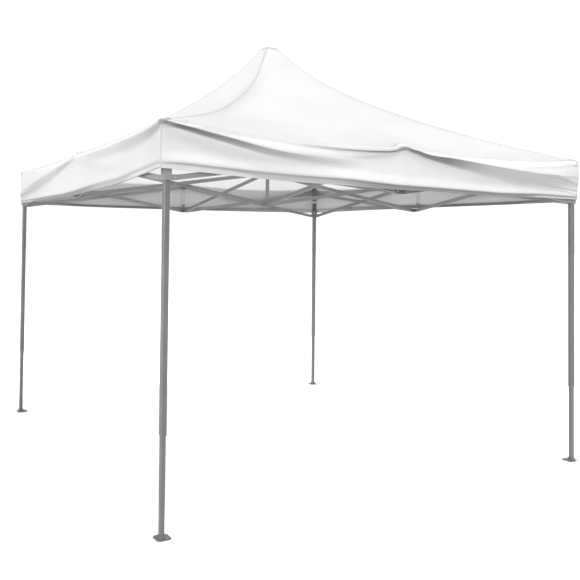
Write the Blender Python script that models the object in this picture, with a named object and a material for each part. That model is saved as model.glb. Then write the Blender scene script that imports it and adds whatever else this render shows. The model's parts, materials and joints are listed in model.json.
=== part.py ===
# Pop-up canopy tent: four telescopic legs, a folding scissor frame and a fabric cover.
# Metres, +Z up, origin on the ground under the centre pole.
import math

import bmesh
import bpy
from mathutils import Matrix, Vector

# Driving sizes of the frame
LEG_HALF = 1.470           # leg centre line to the middle of the tent, along X and along Y
TOP_PIVOT_Z = 1.930        # upper pivots: leg tops, upper mid brackets, upper hub
BRACE_DROP = 0.220         # upper pivots to lower pivots when the frame is open
LEG_REACH = 0.045          # leg or hub centre to the pivots beside it
MID_REACH = 0.034          # mid bracket centre to its pivots
PAD_HALF = 0.015           # half width of the pads that carry the cover at mid side
LANE = 0.0085              # crossing bars lie this far to either side of their common plane

BAR_HEIGHT = 0.026
BAR_THICK = 0.012
PIN_R = 0.0040
HOLE_R = 0.0046
RIVET_HEAD_R = 0.0080
RIVET_HEAD_H = 0.0025
RIVET_SINK = 0.002         # rivet heads and washers start this deep inside their bar
SEAT_GAP = 0.0003          # between pieces that touch
CHEEK_GAP = 0.0006         # between a bar and the fork that holds it
CHEEK_THICK = 0.003

BRACKET_HALF = 0.020       # half width of corner brackets and sliders
BRACKET_SKIRT = 0.030      # corner brackets reach down from the upper pivots
FORK_START = 0.017         # forks start inside the walls of brackets and sliders
HUB_FORK_START = 0.019
BLOCK_HALF = 0.013         # solid middle of a mid bracket
BLOCK_REACH = 0.0165       # and of its fork for the lower rafter bar
PAD_REACH = 0.0145
SLEEVE_BOTTOM = -0.015     # slider, from the lower pivots
SLEEVE_TOP = 0.045
KNOB_Z = 0.026
KNOB_R = 0.009
KNOB_REACH = 0.0245
KNOB_THICK = 0.0027
STEM_R = 0.005
KNOB_SIDES = 12
OVERCUT = 0.010            # cutting shapes reach past what they cut

OUTER_TUBE = 0.030         # square leg tubes
INNER_TUBE = 0.025
OUTER_WALL = 0.0018
OUTER_TUBE_BOTTOM_Z = 0.485
OUTER_TUBE_TOP_Z = 1.952
INNER_TUBE_TOP_Z = 1.440
FOOT_SIZE = 0.075
FOOT_THICK = 0.004
FOOT_SHIFT = 0.008         # the foot plate sits a little towards the middle of the tent
COLLAR_SIZE = 0.035
COLLAR_TOP_Z = 0.018
TUBE_CORNER = 0.003        # cut corners of tubes and plates
BORE_CORNER = 0.002
COLLAR_CORNER = 0.005
FOOT_CORNER = 0.012

POLE_R = 0.014
POLE_BORE_R = 0.0147
POLE_BOTTOM_Z = 1.703
HUB_R = 0.024
UPPER_HUB = (-0.018, 0.020)    # bottom and top of the hubs, from their pivots
LOWER_HUB = (-0.020, 0.018)
CAP_RIM = 0.004
CAP_DEPTH = 0.012
CAP_UNDER_R = 0.030

# Driving sizes of the cover
EAVE_HALF = 1.500
EAVE_Z = 1.985             # roof edge at the corners
HIP_RISE = 0.470           # the hips rise by HIP_RISE u + HIP_CURVE u^2 + PEAK_RISE u^PEAK_POWER,
HIP_CURVE = 0.330          # where u runs from 0 at the eave to 1 at the peak
PEAK_RISE = 0.255
PEAK_POWER = 10
PEAK_ROUND = 0.070
EAVE_MID_DROP = 0.028      # roof edge at the middle of a side, under the corners
EAVE_SAG = 0.035           # sag of the roof edge between its supports
FABRIC = 0.004
VALANCE_CORNER_Z = 1.745
VALANCE_MID_Z = 1.715
ROOF_ROWS = 9
ROOF_COLUMNS = 12
PEAK_HOLE = 0.012
CAP_ROWS = 2               # the pole's cap reaches out to this row of the roof

SIDES = ("front", "right", "back", "left")
CORNERS = ("front_left", "front_right", "back_right", "back_left")
PIN_SIDES = 10
ROUND_SIDES = 20
BAR_END_STEPS = 5
SMOOTH = math.radians(40)

SPAN = LEG_HALF - LEG_REACH - MID_REACH
BAR_LENGTH = math.hypot(SPAN, BRACE_DROP)
BAR_ANGLE = math.atan2(BRACE_DROP, SPAN)
LOW_PIVOT_Z = TOP_PIVOT_Z - BRACE_DROP
UP = Vector((0, 0, 1))


def clear_scene():
    for old in list(bpy.data.objects):
        bpy.data.objects.remove(old, do_unlink=True)


def material(name, colour, roughness, metallic):
    mat = bpy.data.materials.new(name)
    mat.use_nodes = True
    shader = mat.node_tree.nodes["Principled BSDF"]
    shader.inputs["Base Color"].default_value = (*colour, 1)
    shader.inputs["Roughness"].default_value = roughness
    shader.inputs["Metallic"].default_value = metallic
    return mat


def quarter_turn(k):
    return Matrix.Rotation(k * math.pi / 2, 4, "Z")


# Mesh helpers

def mesh_from(bm, name):
    bmesh.ops.recalc_face_normals(bm, faces=bm.faces)
    mesh = bpy.data.meshes.new(name)
    bm.to_mesh(mesh)
    bm.free()
    return mesh


def box(low, high):
    bm = bmesh.new()
    bmesh.ops.create_cube(bm, size=1)
    size = [b - a for a, b in zip(low, high)]
    centre = [(a + b) / 2 for a, b in zip(low, high)]
    bmesh.ops.transform(bm, matrix=Matrix.LocRotScale(centre, None, size), verts=bm.verts)
    return mesh_from(bm, "box")


def rod(start, end, radius, sides=PIN_SIDES):
    start, end = Vector(start), Vector(end)
    axis = end - start
    bm = bmesh.new()
    bmesh.ops.create_cone(bm, cap_ends=True, segments=sides, radius1=radius, radius2=radius,
                          depth=axis.length)
    turn = UP.rotation_difference(axis)
    bmesh.ops.transform(bm, matrix=Matrix.LocRotScale((start + end) / 2, turn, None), verts=bm.verts)
    return mesh_from(bm, "rod")


def turned(profile, sides=ROUND_SIDES):
    """Turn a closed (radius, height) profile, from axis to axis, about Z."""
    bm = bmesh.new()
    rings = []
    for radius, height in profile:
        if radius == 0:
            rings.append([bm.verts.new((0, 0, height))])
        else:
            rings.append([bm.verts.new((radius * math.cos(a), radius * math.sin(a), height))
                          for a in (2 * math.pi * i / sides for i in range(sides))])
    for lower, upper in zip(rings, rings[1:]):
        for i in range(sides):
            j = (i + 1) % sides
            face = [lower[i % len(lower)], lower[j % len(lower)]]
            face += [upper[j % len(upper)], upper[i % len(upper)]]
            bm.faces.new(list(dict.fromkeys(face)))
    return mesh_from(bm, "turned")


def plate(loops, thickness):
    """Extrude an outline in XZ, with its holes, to a plate centred on Y = 0."""
    bm = bmesh.new()
    edges = []
    for loop in loops:
        verts = [bm.verts.new((x, -thickness / 2, z)) for x, z in loop]
        edges += [bm.edges.new((verts[i], verts[(i + 1) % len(verts)])) for i in range(len(verts))]
    bmesh.ops.triangle_fill(bm, use_beauty=True, edges=edges)
    grown = bmesh.ops.extrude_face_region(bm, geom=bm.faces[:])
    back = [v for v in grown["geom"] if isinstance(v, bmesh.types.BMVert)]
    bmesh.ops.translate(bm, verts=back, vec=(0, thickness, 0))
    return mesh_from(bm, "plate")


def circle(x, z, radius, sides=PIN_SIDES):
    return [(x + radius * math.cos(2 * math.pi * i / sides), z + radius * math.sin(2 * math.pi * i / sides))
            for i in range(sides)]


def rounded_bar(x0, x1, height, steps=BAR_END_STEPS):
    """Outline of a bar with half-round ends whose centres are at x0 and x1."""
    r = height / 2
    right = [(x1 + r * math.sin(math.pi * i / steps), -r * math.cos(math.pi * i / steps))
             for i in range(steps + 1)]
    left = [(x0 - r * math.sin(math.pi * i / steps), r * math.cos(math.pi * i / steps))
            for i in range(steps + 1)]
    return right + left


def moved(mesh, matrix):
    mesh.transform(matrix)
    return mesh


def fuse(solids, cuts=()):
    """Join overlapping solids into one body and cut the others out of it."""
    base = bpy.data.objects.new("fused", solids[0])
    bpy.context.collection.objects.link(base)
    tools = []
    for operation, meshes in (("UNION", solids[1:]), ("DIFFERENCE", cuts)):
        for mesh in meshes:
            tool = bpy.data.objects.new("tool", mesh)
            bpy.context.collection.objects.link(tool)
            tools.append(tool)
            modifier = base.modifiers.new("shape", "BOOLEAN")
            modifier.operation = operation
            modifier.object = tool
    depsgraph = bpy.context.evaluated_depsgraph_get()
    result = bpy.data.meshes.new_from_object(base.evaluated_get(depsgraph))
    for used in [base] + tools:
        bpy.data.objects.remove(used, do_unlink=True)
    return result


def add(name, mesh, mat, place=Matrix.Identity(4), smooth_angle=None):
    """Put a mesh in the scene; place carries its origin, which is on its joint's axis."""
    own = mesh.copy()
    own.name = name
    own.materials.clear()
    own.materials.append(mat)
    if smooth_angle is not None:
        own.shade_smooth()
        own.set_sharp_from_angle(angle=smooth_angle)
    obj = bpy.data.objects.new(name, own)
    obj.matrix_world = place
    bpy.context.collection.objects.link(obj)
    return obj


# Bars

def plain_bar():
    """Bar with three holes, its origin at one end."""
    holes = [circle(x, 0, HOLE_R) for x in (0, BAR_LENGTH / 2, BAR_LENGTH)]
    return plate([rounded_bar(0, BAR_LENGTH, BAR_HEIGHT)] + holes, BAR_THICK)


def pin_bar():
    """Bar with end holes and the centre rivet that its partner turns on, its origin at the rivet."""
    half = BAR_LENGTH / 2
    bar = plate([rounded_bar(-half, half, BAR_HEIGHT)] + [circle(x, 0, HOLE_R) for x in (-half, half)],
                BAR_THICK)
    near = BAR_THICK / 2
    partner = 2 * LANE - near
    far = partner + BAR_THICK + SEAT_GAP
    washer = rod((0, near - RIVET_SINK, 0), (0, partner - SEAT_GAP, 0), RIVET_HEAD_R)
    pin = rod((0, 0, 0), (0, far + RIVET_HEAD_H / 2, 0), PIN_R)
    far_head = rod((0, far, 0), (0, far + RIVET_HEAD_H, 0), RIVET_HEAD_R)
    near_head = rod((0, -near - RIVET_HEAD_H, 0), (0, -near + RIVET_SINK, 0), RIVET_HEAD_R)
    return fuse([bar, washer, pin, far_head, near_head])


def bar_place(point, along, lane_normal, lane):
    """Frame whose X runs along the bar and whose Y is the direction of the rivets."""
    x = Vector(along).normalized()
    y = Vector(lane_normal)
    z = x.cross(y)
    turn = Matrix((x, y, z)).transposed().to_4x4()
    return Matrix.Translation(Vector(point) + y * lane) @ turn


# Forks: two cheeks and a pin that hold the end of one bar

CHEEK_OFFSET = BAR_THICK / 2 + CHEEK_GAP + CHEEK_THICK / 2


def cheek_pair(outline, lane):
    """Two plates with the same outline, on both sides of the bars in a lane."""
    return [moved(plate([outline], CHEEK_THICK), Matrix.Translation((0, lane + side * CHEEK_OFFSET, 0)))
            for side in (-1, 1)]


def fork_pin(x, lane):
    return rod((x, lane - CHEEK_OFFSET, 0), (x, lane + CHEEK_OFFSET, 0), PIN_R)


def fork(start, reach, lane, turn=Matrix.Identity(4)):
    """Cheeks from start to the pivot at reach and their pin, along +X before turn."""
    r = BAR_HEIGHT / 2
    outline = [(start, -r)] + rounded_bar(start, reach, BAR_HEIGHT)[:BAR_END_STEPS + 1] + [(start, r)]
    return [moved(mesh, turn) for mesh in cheek_pair(outline, lane) + [fork_pin(reach, lane)]]


SWAP_XY = Matrix(((0, 1, 0, 0), (1, 0, 0, 0), (0, 0, 1, 0), (0, 0, 0, 1)))


def flipped(mesh):
    """Turn the faces of a mirrored mesh out again."""
    mesh.flip_normals()
    return mesh


def mid_bracket(lane, pad_top):
    """Bracket at the middle of a side: two bars along the side and one towards the hub."""
    half_height = BAR_HEIGHT / 2 - 0.001
    solids = cheek_pair(rounded_bar(-MID_REACH, MID_REACH, BAR_HEIGHT), lane)
    solids += [fork_pin(x, lane) for x in (-MID_REACH, MID_REACH)]
    solids.append(box((-BLOCK_HALF, lane - CHEEK_OFFSET, -half_height),
                      (BLOCK_HALF, lane + CHEEK_OFFSET, half_height)))
    inner_plate = lane + CHEEK_OFFSET
    solids += fork(inner_plate, MID_REACH, -lane, Matrix.Rotation(math.pi / 2, 4, "Z"))
    if lane < 0:
        # the rafter's fork starts further out here, so a block fills it up to the bar's end
        solids.append(box((lane - CHEEK_OFFSET, inner_plate, -half_height),
                          (lane + CHEEK_OFFSET, BLOCK_REACH, half_height)))
    if pad_top:
        solids.append(box((-PAD_HALF, lane - CHEEK_OFFSET, 0), (PAD_HALF, PAD_REACH, pad_top)))
    return fuse(solids)


def corner_forks(lane):
    one = fork(FORK_START, LEG_REACH, lane)
    other = [flipped(mesh) for mesh in fork(FORK_START, LEG_REACH, lane, SWAP_XY)]
    return one + other


def corner_bracket():
    """Cap on a leg's top with the forks of the two upper bars that meet there."""
    half = BRACKET_HALF
    socket = OUTER_TUBE / 2 + SEAT_GAP
    outer_edge = LEG_HALF + half
    top = roof_under(outer_edge, (LEG_HALF - half) / outer_edge) - SEAT_GAP - TOP_PIVOT_Z
    block = box((-half, -half, -BRACKET_SKIRT), (half, half, top))
    hole = box((-socket, -socket, -BRACKET_SKIRT - OVERCUT),
               (socket, socket, OUTER_TUBE_TOP_Z - TOP_PIVOT_Z + SEAT_GAP))
    return fuse([block] + corner_forks(LANE), [hole])


def slider():
    """Sleeve that runs on the leg, with the forks of the two lower bars and a pull knob."""
    half = BRACKET_HALF
    bore = OUTER_TUBE / 2 + CHEEK_GAP
    sleeve = box((-half, -half, SLEEVE_BOTTOM), (half, half, SLEEVE_TOP))
    hole = box((-bore, -bore, SLEEVE_BOTTOM - OVERCUT), (bore, bore, SLEEVE_TOP + OVERCUT))
    knob_back = KNOB_THICK - KNOB_REACH
    stem = rod((-FORK_START, 0, KNOB_Z), (knob_back - KNOB_THICK / 2, 0, KNOB_Z), STEM_R, KNOB_SIDES)
    knob = rod((knob_back, 0, KNOB_Z), (-KNOB_REACH, 0, KNOB_Z), KNOB_R, KNOB_SIDES)
    return fuse([sleeve, stem, knob] + corner_forks(-LANE), [hole])


def hub(lane, low, high, bore_floor):
    """Round hub with four forks; the bore for the centre pole starts at bore_floor."""
    solids = [rod((0, 0, low), (0, 0, high), HUB_R, ROUND_SIDES)]
    for k in range(4):
        # a fork along +X turned to -Y keeps its lane on the same side of the bar
        turn = quarter_turn(k) @ Matrix.Rotation(-math.pi / 2, 4, "Z")
        solids += fork(HUB_FORK_START, LEG_REACH, lane, turn)
    return fuse(solids, [rod((0, 0, bore_floor), (0, 0, high + OVERCUT), POLE_BORE_R, ROUND_SIDES)])


# Legs

def tube_outline(size, corner):
    h = size / 2
    c = h - corner
    return [(h, c), (c, h), (-c, h), (-h, c), (-h, -c), (-c, -h), (c, -h), (h, -c)]


def upright(loops, low, high):
    """Extrude an outline in XY from low to high."""
    return moved(plate(loops, high - low),
                 Matrix.Translation((0, 0, (low + high) / 2)) @ Matrix.Rotation(math.pi / 2, 4, "X"))


def upper_leg():
    outer = tube_outline(OUTER_TUBE, TUBE_CORNER)
    inner = tube_outline(OUTER_TUBE - 2 * OUTER_WALL, BORE_CORNER)
    return upright([outer, inner], OUTER_TUBE_BOTTOM_Z, OUTER_TUBE_TOP_Z)


def lower_leg():
    tube = upright([tube_outline(INNER_TUBE, TUBE_CORNER)], FOOT_THICK / 2, INNER_TUBE_TOP_Z)
    foot = upright([tube_outline(FOOT_SIZE, FOOT_CORNER)], 0, FOOT_THICK)
    collar = upright([tube_outline(COLLAR_SIZE, COLLAR_CORNER)], FOOT_THICK / 2, COLLAR_TOP_Z)
    shift = Matrix.Translation((FOOT_SHIFT, FOOT_SHIFT, 0))
    return fuse([tube, moved(foot, shift), collar])


# Centre pole

def pole_with_cap():
    rows = [row_radius(i) for i in range(CAP_ROWS, -1, -1)]
    dome = [(r, roof_under(r, 0) - SEAT_GAP) for r in rows]
    rim = dome[0][1] - CAP_RIM
    under = rim - CAP_DEPTH
    return turned([(0, POLE_BOTTOM_Z), (POLE_R, POLE_BOTTOM_Z), (POLE_R, under), (CAP_UNDER_R, under),
                   (rows[0], rim)] + dome + [(0, dome[-1][1])])


# Cover

def roof_top(r, a):
    """Height of the roof; r is the larger of |x| and |y|, a runs from 0 at mid side to 1 at a hip."""
    u = 1 - math.hypot(r, PEAK_ROUND) / math.hypot(EAVE_HALF, PEAK_ROUND)
    hip = EAVE_Z + HIP_RISE * u + HIP_CURVE * u * u + PEAK_RISE * u ** PEAK_POWER
    spread = (r / EAVE_HALF) ** 2
    return hip - spread * (EAVE_MID_DROP * (1 - a) + EAVE_SAG * 4 * a * (1 - a))


def roof_under(r, a):
    return roof_top(r, a) - FABRIC


def row_radius(i):
    """The roof's rows of points lie closer together towards the peak."""
    return PEAK_HOLE + (EAVE_HALF - PEAK_HOLE) * (i / ROOF_ROWS) ** 2


def shell(columns, rows, outer, inner):
    """Closed sheet between two grids of points, outer(i, j) and inner(i, j)."""
    bm = bmesh.new()
    grids = [[[bm.verts.new(side(i, j)) for j in range(columns + 1)] for i in range(rows + 1)]
             for side in (outer, inner)]
    for grid in grids:
        for i in range(rows):
            for j in range(columns):
                bm.faces.new((grid[i][j], grid[i][j + 1], grid[i + 1][j + 1], grid[i + 1][j]))
    rim = [(0, j) for j in range(columns)] + [(i, columns) for i in range(rows)]
    rim += [(rows, j) for j in range(columns, 0, -1)] + [(i, 0) for i in range(rows, 0, -1)]
    for (i, j), (m, n) in zip(rim, rim[1:] + rim[:1]):
        bm.faces.new((grids[0][i][j], grids[0][m][n], grids[1][m][n], grids[1][i][j]))
    return mesh_from(bm, "shell")


def roof_panel():
    """Front panel of the roof, from the peak to the eave, between two hips."""
    def point(i, j, height):
        r = row_radius(i)
        a = 2 * j / ROOF_COLUMNS - 1
        return a * (r - SEAT_GAP), -r, height(r, abs(a))
    return shell(ROOF_COLUMNS, ROOF_ROWS, lambda i, j: point(i, j, roof_top),
                 lambda i, j: point(i, j, roof_under))


def valance():
    """Front flap of the cover, hanging from the eave."""
    def point(i, j, y):
        a = 2 * j / ROOF_COLUMNS - 1
        hem = VALANCE_CORNER_Z + (VALANCE_MID_Z - VALANCE_CORNER_Z) * (1 - a * a)
        top = roof_under(EAVE_HALF, abs(a)) - SEAT_GAP
        return a * (-y - SEAT_GAP), y, (top, hem)[i]
    return shell(ROOF_COLUMNS, 1, lambda i, j: point(i, j, -EAVE_HALF),
                 lambda i, j: point(i, j, FABRIC - EAVE_HALF))


def build():
    clear_scene()
    steel = material("powder_coated_steel", (0.62, 0.63, 0.64), 0.45, 0.3)
    plastic = material("bracket_plastic", (0.55, 0.56, 0.57), 0.5, 0.0)
    cloth = material("cover_fabric", (0.9, 0.9, 0.9), 0.8, 0.0)

    plain, pinned = plain_bar(), pin_bar()
    pad_edge = LEG_HALF + LANE + CHEEK_OFFSET
    pad = roof_under(pad_edge, PAD_HALF / pad_edge) - SEAT_GAP - TOP_PIVOT_Z
    shapes = {"top": mid_bracket(-LANE, pad), "bottom": mid_bracket(LANE, None)}
    cap, sleeve, tube, inner_leg = corner_bracket(), slider(), upper_leg(), lower_leg()
    panel, flap = roof_panel(), valance()

    for k, (side, corner) in enumerate(zip(SIDES, CORNERS)):
        turn = quarter_turn(k)
        along = turn @ Vector((1, 0, 0))
        inward = turn @ Vector((0, 1, 0))
        middle = -LEG_HALF * inward
        cos, sin = math.cos(BAR_ANGLE), math.sin(BAR_ANGLE)

        # rafters, from the hubs to the middle of the side
        hub_pivot = -LEG_REACH * inward + TOP_PIVOT_Z * UP
        add("rafter_high_" + side, plain, steel,
            bar_place(hub_pivot, -cos * inward - sin * UP, along, LANE))
        centre = hub_pivot + BAR_LENGTH / 2 * (-cos * inward - sin * UP)
        add("rafter_low_" + side, pinned, steel,
            bar_place(centre, -cos * inward + sin * UP, along, -LANE))

        # truss bars, from the middle of the side to the legs
        for hand, way in (("left", -along), ("right", along)):
            low_pivot = middle + MID_REACH * way + LOW_PIVOT_Z * UP
            add("truss_high_%s_%s" % (side, hand), plain, steel,
                bar_place(low_pivot, cos * way + sin * UP, inward, LANE))
            centre = low_pivot + BAR_LENGTH / 2 * (cos * way + sin * UP)
            add("truss_low_%s_%s" % (side, hand), pinned, steel,
                bar_place(centre, cos * way - sin * UP, inward, -LANE))

        add("mid_bracket_top_" + side, shapes["top"], plastic,
            Matrix.Translation(middle + TOP_PIVOT_Z * UP) @ turn)
        add("mid_bracket_bottom_" + side, shapes["bottom"], plastic,
            Matrix.Translation(middle + LOW_PIVOT_Z * UP) @ turn)

        leg = Matrix.Translation(turn @ Vector((-LEG_HALF, -LEG_HALF, 0))) @ turn
        add("leg_upper_" + corner, tube, steel, leg)
        add("leg_lower_" + corner, inner_leg, steel, leg)
        add("corner_bracket_" + corner, cap, plastic, leg @ Matrix.Translation(TOP_PIVOT_Z * UP))
        add("slider_" + corner, sleeve, plastic, leg @ Matrix.Translation(LOW_PIVOT_Z * UP))

        add("roof_" + side, panel, cloth, turn, SMOOTH)
        add("valance_" + side, flap, cloth, turn, SMOOTH)

    bottom, top = UPPER_HUB
    add("hub_top", hub(LANE, bottom, top, bottom - OVERCUT), plastic,
        Matrix.Translation(TOP_PIVOT_Z * UP), SMOOTH)
    cup = POLE_BOTTOM_Z - SEAT_GAP - LOW_PIVOT_Z
    add("hub_bottom", hub(-LANE, *LOWER_HUB, cup), plastic, Matrix.Translation(LOW_PIVOT_Z * UP), SMOOTH)
    add("centre_pole", pole_with_cap(), steel, Matrix.Identity(4), SMOOTH)


build()
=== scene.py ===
import json
import math

import bmesh
import bpy
import numpy as np
from mathutils import Matrix, Vector

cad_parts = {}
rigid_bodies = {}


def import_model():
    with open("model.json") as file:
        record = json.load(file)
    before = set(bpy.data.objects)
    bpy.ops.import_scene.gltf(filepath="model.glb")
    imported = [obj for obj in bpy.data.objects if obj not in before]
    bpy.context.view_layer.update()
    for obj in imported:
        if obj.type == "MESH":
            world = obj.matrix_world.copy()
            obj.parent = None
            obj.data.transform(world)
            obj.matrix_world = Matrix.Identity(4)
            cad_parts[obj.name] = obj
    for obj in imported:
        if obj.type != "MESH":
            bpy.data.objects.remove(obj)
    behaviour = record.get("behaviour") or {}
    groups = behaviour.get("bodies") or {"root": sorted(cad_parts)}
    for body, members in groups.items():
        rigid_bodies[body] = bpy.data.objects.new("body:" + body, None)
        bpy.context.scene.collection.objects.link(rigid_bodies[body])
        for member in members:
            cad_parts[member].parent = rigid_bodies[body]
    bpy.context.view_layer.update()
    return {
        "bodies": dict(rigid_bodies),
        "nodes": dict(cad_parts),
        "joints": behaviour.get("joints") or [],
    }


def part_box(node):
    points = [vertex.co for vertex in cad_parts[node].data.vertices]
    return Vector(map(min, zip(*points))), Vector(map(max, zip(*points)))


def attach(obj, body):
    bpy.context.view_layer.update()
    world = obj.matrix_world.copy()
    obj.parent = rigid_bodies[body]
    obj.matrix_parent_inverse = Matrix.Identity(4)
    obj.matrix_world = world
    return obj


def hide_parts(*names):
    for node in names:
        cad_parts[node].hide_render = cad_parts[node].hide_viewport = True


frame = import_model()

sideNames = ("front", "right", "back", "left")
cornerNames = ("front_left", "front_right", "back_right", "back_left")
coverBody = "cover_and_hub"

# Places that the frame gives
tubeLow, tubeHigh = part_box("leg_upper_front_left")
legAt = (tubeLow + tubeHigh) / 2
legHalf = -legAt.x
tubeHalf = legAt.x - tubeLow.x
tubeBottom = tubeLow.z
jointPlace = {j["child"]: j.get("pos_m") for j in frame["joints"]}
topPivotHeight = jointPlace["rafter_high_front"][2]
lowPivotHeight = jointPlace["mid_bracket_bottom_front"][2]
hubReach = -jointPlace["rafter_high_front"][1]
midReach = legHalf + jointPlace["mid_bracket_bottom_front"][1]
lane = sum(corner.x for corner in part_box("rafter_high_front")) / 2


# Places on the front side, turned to side k about the middle of the tent
def quarter(points, k):
    out = np.array(points, float)
    for _ in range(k % 4):
        out = np.stack([-out[..., 1], out[..., 0], out[..., 2]], axis=-1)
    return out


# Materials

def feed(tree, target, inputs):
    for key, value in inputs.items():
        if isinstance(value, bpy.types.NodeSocket):
            tree.links.new(value, target.inputs[key])
        else:
            target.inputs[key].default_value = value


def node(tree, kind, inputs=None, **settings):
    made = tree.nodes.new(kind)
    for key, value in settings.items():
        setattr(made, key, value)
    feed(tree, made, inputs or {})
    return made


def startMaterial(name):
    made = bpy.data.materials.new(name)
    made.use_nodes = True
    return made, made.node_tree, made.node_tree.nodes["Principled BSDF"]


def objectPlace(tree):
    return node(tree, "ShaderNodeTexCoord").outputs["Object"]


def clothRun(tree):
    return node(tree, "ShaderNodeUVMap", uv_map="clothRun").outputs["UV"]


def noise(tree, where, scale, detail=3.0, roughness=0.55):
    return node(tree, "ShaderNodeTexNoise", {"Vector": where, "Scale": scale, "Detail": detail,
                                             "Roughness": roughness}).outputs["Fac"]


def spread(tree, value, low, high, fromLow=0.0, fromHigh=1.0):
    return node(tree, "ShaderNodeMapRange", {"Value": value, "From Min": fromLow, "From Max": fromHigh,
                                             "To Min": low, "To Max": high}).outputs["Result"]


def waves(tree, where, scale, distortion, detail, direction):
    return node(tree, "ShaderNodeTexWave", {"Vector": where, "Scale": scale, "Distortion": distortion,
                                            "Detail": detail}, bands_direction=direction).outputs["Fac"]


def blendColours(tree, share, one, other):
    one, other = (c if isinstance(c, bpy.types.NodeSocket) else (*c, 1) for c in (one, other))
    return node(tree, "ShaderNodeMix", {0: share, 6: one, 7: other}, data_type="RGBA").outputs[2]


def bump(tree, height, distance, strength=1.0, after=None):
    inputs = {"Height": height, "Distance": distance, "Strength": strength}
    if after is not None:
        inputs["Normal"] = after
    return node(tree, "ShaderNodeBump", inputs).outputs["Normal"]


clothLook = {
    "white": (0.94, 0.94, 0.94),
    "shade": (0.9, 0.9, 0.9),
    # grey of the real dust specks, and of the painted shade in folds, beside hips and along the hem
    "dust": (0.2, 0.2, 0.2),
    "speckle": 0.06,
    "foldDust": (0.91, 1.3),   # share of the grey that paints shade in the folds, and the value of the cloth's attribute that gives it
    "roughness": 0.72,
    "throughRoof": 0.70,       # share of light that passes the cloth
    "throughValance": 0.46,
    "throughDouble": 0.4,
    "weavePerMetre": 1100.0,
    "weaveDepth": 0.00012,
    "rippleDepth": 0.0016,
    "creaseDepth": 0.0022,
}


def clothMaterial(name, through, tint=1.0, look=clothLook):
    made, tree, shader = startMaterial(name)
    place, run = objectPlace(tree), clothRun(tree)
    white, shade = (tuple(c * tint for c in look[label]) for label in ("white", "shade"))
    colour = blendColours(tree, spread(tree, noise(tree, place, 1.7, 4.0), 0, 1, 0.35, 0.65), white, shade)
    specks = noise(tree, place, 38.0, 5.0, 0.7)
    speckled = blendColours(tree, spread(tree, specks, 0, look["speckle"], 0.5, 0.8), colour, look["dust"])
    # painted shade: the cloth's attribute greys fold undersides, hip seams and the hem towards that grey
    foldShadeMask = node(tree, "ShaderNodeAttribute", attribute_name="foldDust").outputs["Fac"]
    share, full = look["foldDust"]
    shadedColour = blendColours(tree, spread(tree, foldShadeMask, 0, share, 0, full), speckled, look["dust"])
    pitch = look["weavePerMetre"] * math.tau / 20    # a wave texture repeats 20 / tau times in each unit
    warp, weft = (waves(tree, run, pitch, 0.4, 1.0, direction) for direction in "XY")
    weave = node(tree, "ShaderNodeMath", {0: warp, 1: weft}, operation="MULTIPLY").outputs["Value"]
    packed = node(tree, "ShaderNodeTexVoronoi", {"Vector": place, "Scale": 3.1, "Smoothness": 0.9},
                  feature="SMOOTH_F1").outputs["Distance"]
    creases = bump(tree, packed, look["creaseDepth"], 0.45)
    ripples = bump(tree, noise(tree, place, 9.0, 4.0, 0.5), look["rippleDepth"], 0.5, creases)
    feed(tree, shader, {"Base Color": shadedColour, "Sheen Weight": 0.12, "Sheen Roughness": 0.5,
                        "Roughness": spread(tree, specks, look["roughness"] - 0.08, look["roughness"] + 0.08),
                        "Normal": bump(tree, weave, look["weaveDepth"], 0.6, ripples)})
    glow = node(tree, "ShaderNodeBsdfTranslucent", {"Color": shadedColour})
    mixed = node(tree, "ShaderNodeMixShader", {0: through, 1: shader.outputs["BSDF"], 2: glow.outputs["BSDF"]})
    feed(tree, tree.nodes["Material Output"], {"Surface": mixed.outputs["Shader"]})
    return made


# Thread and rivets: two shades in a fine cloud
def fineMaterial(name, scale, detail, shades, roughness, metallic=0.0):
    made, tree, shader = startMaterial(name)
    cloud = noise(tree, objectPlace(tree), scale, detail)
    feed(tree, shader, {"Base Color": blendColours(tree, cloud, *shades), "Metallic": metallic,
                        "Roughness": spread(tree, cloud, *roughness)})
    return made


def webbingMaterial(name, light, dark):
    made, tree, shader = startMaterial(name)
    ribs = waves(tree, clothRun(tree), 160.0, 0.6, 2.0, "Y")
    feed(tree, shader, {"Base Color": blendColours(tree, ribs, dark, light), "Roughness": 0.85,
                        "Sheen Weight": 0.2, "Normal": bump(tree, ribs, 0.0004, 0.7)})
    return made


steelLook = {
    "coat": (0.132, 0.134, 0.137),
    "worn": (0.19, 0.193, 0.197),
    "roughness": (0.34, 0.52),
    "peelDepth": 0.00008,
}


# Grey powder coat with a fine orange peel, dull patches and rubbed lines along the tubes
def steelMaterial(name, lift=1.0, look=steelLook):
    made, tree, shader = startMaterial(name)
    place = objectPlace(tree)
    drawn = node(tree, "ShaderNodeMapping", {"Vector": place, "Scale": (220.0, 220.0, 3.0)}).outputs["Vector"]
    rubbed = noise(tree, drawn, 1.0, 4.0, 0.7)
    coat, worn = (tuple(c * lift for c in look[label]) for label in ("coat", "worn"))
    base = blendColours(tree, spread(tree, noise(tree, place, 5.0, 4.0), 0, 0.35, 0.35, 0.7), coat, worn)
    dents = bump(tree, noise(tree, place, 24.0, 2.0), 0.0003, 0.25)
    feed(tree, shader, {"Base Color": blendColours(tree, spread(tree, rubbed, 0, 0.5, 0.6, 0.78), base, worn),
                        "Roughness": spread(tree, rubbed, *look["roughness"]), "Metallic": 0.25,
                        "Normal": bump(tree, noise(tree, place, 700.0, 2.0), look["peelDepth"], 0.6, dents)})
    return made


poleLook = {
    "steel": ((0.26, 0.264, 0.27), (0.34, 0.345, 0.35)),
    "cap": ((0.8, 0.8, 0.8), (0.88, 0.88, 0.88)),
    "capFrom": 2.76,           # height where the moulded cap begins
}


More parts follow.
